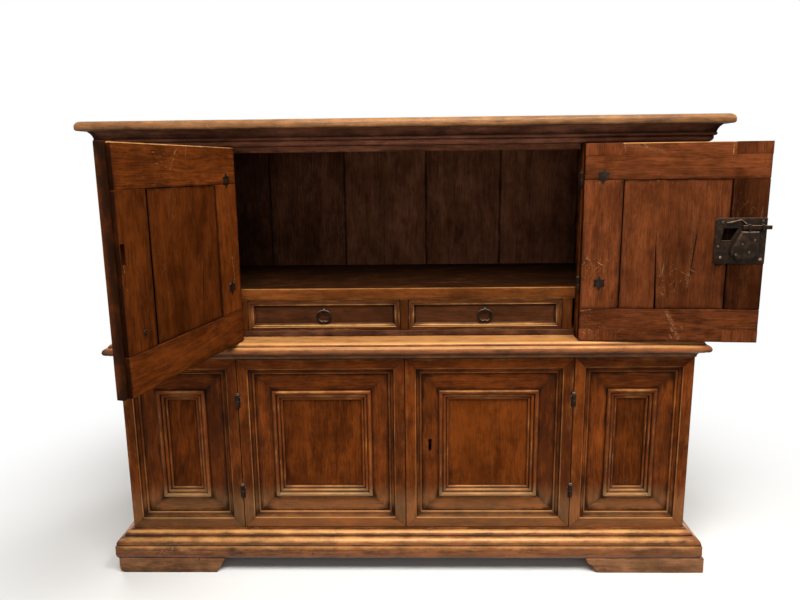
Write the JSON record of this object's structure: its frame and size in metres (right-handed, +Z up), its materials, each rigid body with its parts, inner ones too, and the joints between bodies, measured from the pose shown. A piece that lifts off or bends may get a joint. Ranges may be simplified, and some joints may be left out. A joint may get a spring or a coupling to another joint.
{
  "type": "credenza",
  "caption": "Two-stage walnut credenza with moulded panelled doors, drawers behind the upper doors, eye hinges, ring pulls, open iron lock, moulded base and bracket feet.",
  "frame": {"origin": "on the floor, under the middle of the case", "axes": "+X along the front to the right, +Y from the front to the back, +Z up"},
  "size_m": [1.9083, 1.0379, 1.36],
  "materials": {
    "top_wood": "waxed walnut, worn pale and pitted at its edge",
    "cornice_wood": "dark waxed walnut",
    "case_wood": "waxed walnut boards",
    "panel_wood": "waxed walnut, dark in the corners",
    "moulding_wood": "waxed walnut with bright worn ridges",
    "door_inside_wood": "old oiled walnut, scratched and stained",
    "inside_wood": "old unpolished boards, nearly black with age",
    "shelf_wood": "golden walnut with a worn edge",
    "drawer_wood": "golden walnut, dark in its sunk panel",
    "drawer_box_wood": "plain unfinished boards",
    "mid_wood": "golden walnut with a bright worn nose",
    "base_wood": "worn golden walnut with nicks",
    "foot_wood": "dull scuffed walnut",
    "iron": "hand-forged iron, dark with old rust"
  },
  "bodies": {
    "case": {"plinth": "base_wood", "front_left_foot": "foot_wood", "front_right_foot": "foot_wood", "back_feet": "foot_wood", "lower_left_side": "case_wood", "lower_right_side": "case_wood", "upper_left_side": "case_wood", "upper_right_side": "case_wood", "lower_floor": "inside_wood", "lower_back": "inside_wood", "mid_moulding": "mid_wood", "mid_board": "inside_wood", "drawer_partitions": "shelf_wood", "shelf": "shelf_wood", "upper_back": "inside_wood", "top_rail": "inside_wood", "cornice": "cornice_wood", "top": "top_wood", "lower_left_panel_frame": "panel_wood", "lower_right_panel_frame": "panel_wood", "lower_panel_mouldings": "moulding_wood", "upper_left_panel_frame": "panel_wood", "upper_right_panel_frame": "panel_wood", "upper_panel_mouldings": "moulding_wood", "fixed_panel_boards": "panel_wood", "hinge_pintles": "iron"},
    "lower_left_door": {"lower_left_door_frame": "door_inside_wood", "lower_left_door_facing": "panel_wood", "lower_left_door_moulding": "moulding_wood", "lower_left_door_panel": "panel_wood", "lower_left_door_hinge_eyes": "iron"},
    "lower_right_door": {"lower_right_door_frame": "door_inside_wood", "lower_right_door_facing": "panel_wood", "lower_right_door_moulding": "moulding_wood", "lower_right_door_panel": "panel_wood", "lower_right_door_hinge_eyes": "iron", "lower_lock_case": "iron"},
    "upper_left_door": {"upper_left_door_frame": "door_inside_wood", "upper_left_door_facing": "panel_wood", "upper_left_door_moulding": "moulding_wood", "upper_left_door_panel": "panel_wood", "upper_left_door_hinge_eyes": "iron"},
    "upper_right_door": {"upper_right_door_frame": "door_inside_wood", "upper_right_door_facing": "panel_wood", "upper_right_door_moulding": "moulding_wood", "upper_right_door_panel": "panel_wood", "upper_right_door_hinge_eyes": "iron", "upper_lock_plate": "iron", "upper_lock_cover": "iron", "upper_lock_spring": "iron"},
    "left_drawer": {"left_drawer_front": "drawer_wood", "left_drawer_box": "drawer_box_wood", "left_drawer_pull": "iron"},
    "left_ring": {"left_drawer_ring": "iron"},
    "right_drawer": {"right_drawer_front": "drawer_wood", "right_drawer_box": "drawer_box_wood", "right_drawer_pull": "iron"},
    "right_ring": {"right_drawer_ring": "iron"},
    "upper_bolt": {"upper_lock_bolt": "iron"},
    "lower_bolt": {"lower_lock_bolt": "iron"}
  },
  "joints": [
    {"name": "upper_left_door_swing", "type": "hinge", "parent": "case", "child": "upper_left_door", "pos_m": [-0.506, -0.256, 0.886], "axis": [0, 0, -1], "range_deg": [-104, 72]},
    {"name": "upper_right_door_swing", "type": "hinge", "parent": "case", "child": "upper_right_door", "pos_m": [0.506, -0.256, 0.886], "axis": [0, 0, 1], "range_deg": [-176, 0]},
    {"name": "lower_left_door_swing", "type": "hinge", "parent": "case", "child": "lower_left_door", "pos_m": [-0.501, -0.279, 0.251], "axis": [0, 0, -1], "range_deg": [0, 170]},
    {"name": "lower_right_door_swing", "type": "hinge", "parent": "case", "child": "lower_right_door", "pos_m": [0.501, -0.279, 0.251], "axis": [0, 0, 1], "range_deg": [0, 170]},
    {"name": "left_drawer_slide", "type": "slide", "parent": "case", "child": "left_drawer", "axis": [0, -1, 0], "range_m": [0, 0.3]},
    {"name": "right_drawer_slide", "type": "slide", "parent": "case", "child": "right_drawer", "axis": [0, -1, 0], "range_m": [0, 0.3]},
    {"name": "left_ring_lift", "type": "hinge", "parent": "left_drawer", "child": "left_ring", "pos_m": [-0.2425, -0.2145, 0.80265], "axis": [-1, 0, 0], "range_deg": [0, 85]},
    {"name": "right_ring_lift", "type": "hinge", "parent": "right_drawer", "child": "right_ring", "pos_m": [0.2425, -0.2145, 0.80265], "axis": [-1, 0, 0], "range_deg": [0, 85]},
    {"name": "upper_bolt_slide", "type": "slide", "parent": "upper_right_door", "child": "upper_bolt", "axis": [0.9976, -0.0698, 0], "range_m": [-0.012, 0]},
    {"name": "lower_bolt_slide", "type": "slide", "parent": "lower_right_door", "child": "lower_bolt", "axis": [-1, 0, 0], "range_m": [0, 0.012]}
  ]
}
